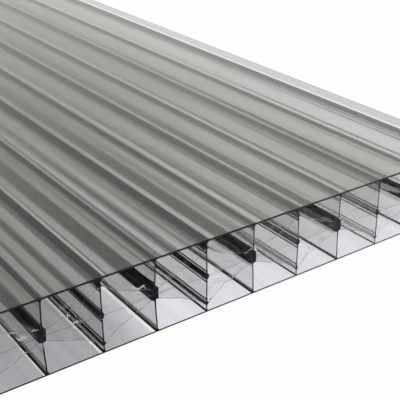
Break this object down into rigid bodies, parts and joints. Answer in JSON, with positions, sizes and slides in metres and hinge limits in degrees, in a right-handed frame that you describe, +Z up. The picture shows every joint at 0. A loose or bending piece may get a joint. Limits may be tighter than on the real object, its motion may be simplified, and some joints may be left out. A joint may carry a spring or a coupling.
{
  "type": "multiwall polycarbonate sheet",
  "caption": "Flat clear tinted plastic glazing sheet with ribbed hollow section: two skins, upright ribs, crossed thin films and open sawn ends.",
  "frame": {"origin": "centre of the lower face, which rests on the floor", "axes": "+Y along the open flutes (the sheet's length), +X across the ribs, +Z up through the thickness"},
  "size_m": [0.7, 2, 0.035],
  "materials": {
    "tinted_plastic": "clear gloss, grey-bronze tint"
  },
  "bodies": {
    "root": {"multiwall_sheet": "tinted_plastic"}
  },
  "joints": []
}
